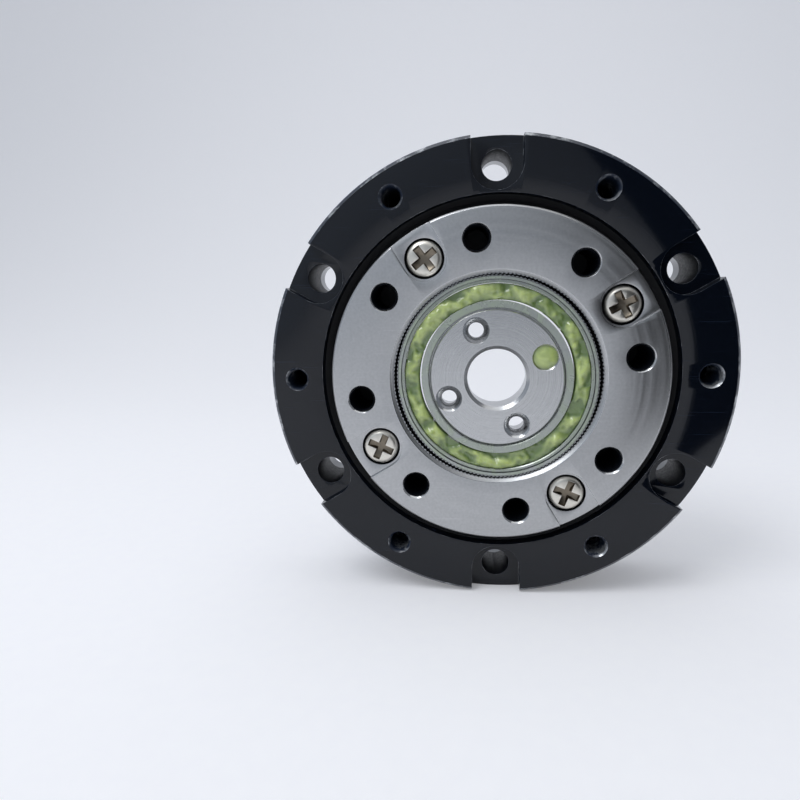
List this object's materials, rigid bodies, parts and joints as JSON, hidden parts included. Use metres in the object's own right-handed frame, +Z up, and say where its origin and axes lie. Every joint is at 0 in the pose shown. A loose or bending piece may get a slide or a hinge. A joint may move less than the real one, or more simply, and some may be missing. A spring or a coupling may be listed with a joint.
{
  "type": "strain wave gear reducer",
  "caption": "Hat-type strain wave gear reducer with a crossed roller output bearing, a flanged housing ring, a toothed output ring and an open input bore.",
  "frame": {"origin": "on the gear axis, in the plane of the housing's front face", "axes": "+Y runs along the gear axis from the output side to the input side, +Z is up, +X to the right as seen from the output side"},
  "size_m": [0.035, 0.0076, 0.035],
  "materials": {
    "black_steel": "glossy black oxide over turned steel",
    "seal_rubber": "matt black rubber",
    "spring_steel": "ground spring steel",
    "screw_steel": "dark steel",
    "race_steel": "polished bearing steel",
    "spline_steel": "satin grey ground steel",
    "nickel_screws": "warm nickel plate",
    "spacer_nylon": "natural nylon",
    "plug_steel": "bright ground steel",
    "cage_nylon": "yellow-green nylon under grease"
  },
  "bodies": {
    "housing": {"outer_ring": "black_steel", "gap_seal": "seal_rubber", "flexspline": "spring_steel", "clamp_screws": "screw_steel", "flexible_outer_race": "race_steel"},
    "output": {"circular_spline": "spline_steel", "inner_race_ring": "spline_steel", "circular_spline_screws": "nickel_screws"},
    "roller_set": {"crossed_rollers_a": "race_steel", "crossed_rollers_b": "race_steel", "roller_spacers": "spacer_nylon"},
    "wave_generator": {"wave_generator_plug": "plug_steel", "snap_ring": "screw_steel", "flexible_inner_race": "race_steel"},
    "ball_set": {"ball_cage": "cage_nylon", "ball_01": "race_steel", "ball_02": "race_steel", "ball_03": "race_steel", "ball_04": "race_steel", "ball_05": "race_steel", "ball_06": "race_steel", "ball_07": "race_steel", "ball_08": "race_steel", "ball_09": "race_steel", "ball_10": "race_steel", "ball_11": "race_steel", "ball_12": "race_steel", "ball_13": "race_steel", "ball_14": "race_steel", "ball_15": "race_steel", "ball_16": "race_steel", "ball_17": "race_steel", "ball_18": "race_steel", "ball_19": "race_steel", "ball_20": "race_steel", "ball_21": "race_steel"}
  },
  "joints": [
    {"name": "wave_generator_spin", "type": "hinge", "parent": "housing", "child": "wave_generator", "pos_m": [0, 0, 0], "axis": [0, 1, 0], "continuous": true, "deforming": ["flexspline", "flexible_outer_race"]},
    {"name": "output_spin", "type": "hinge", "parent": "housing", "child": "output", "pos_m": [0, 0, 0], "axis": [0, 1, 0], "continuous": true},
    {"name": "roller_set_spin", "type": "hinge", "parent": "housing", "child": "roller_set", "pos_m": [0, 0, 0], "axis": [0, 1, 0], "continuous": true},
    {"name": "ball_set_spin", "type": "hinge", "parent": "housing", "child": "ball_set", "pos_m": [0, 0, 0], "axis": [0, 1, 0], "continuous": true}
  ],
  "couplings": [
    {"joint": "output_spin", "follows": "wave_generator_spin", "ratio": 0.012346},
    {"joint": "roller_set_spin", "follows": "wave_generator_spin", "ratio": 0.0061728},
    {"joint": "ball_set_spin", "follows": "wave_generator_spin", "ratio": 0.4591}
  ]
}
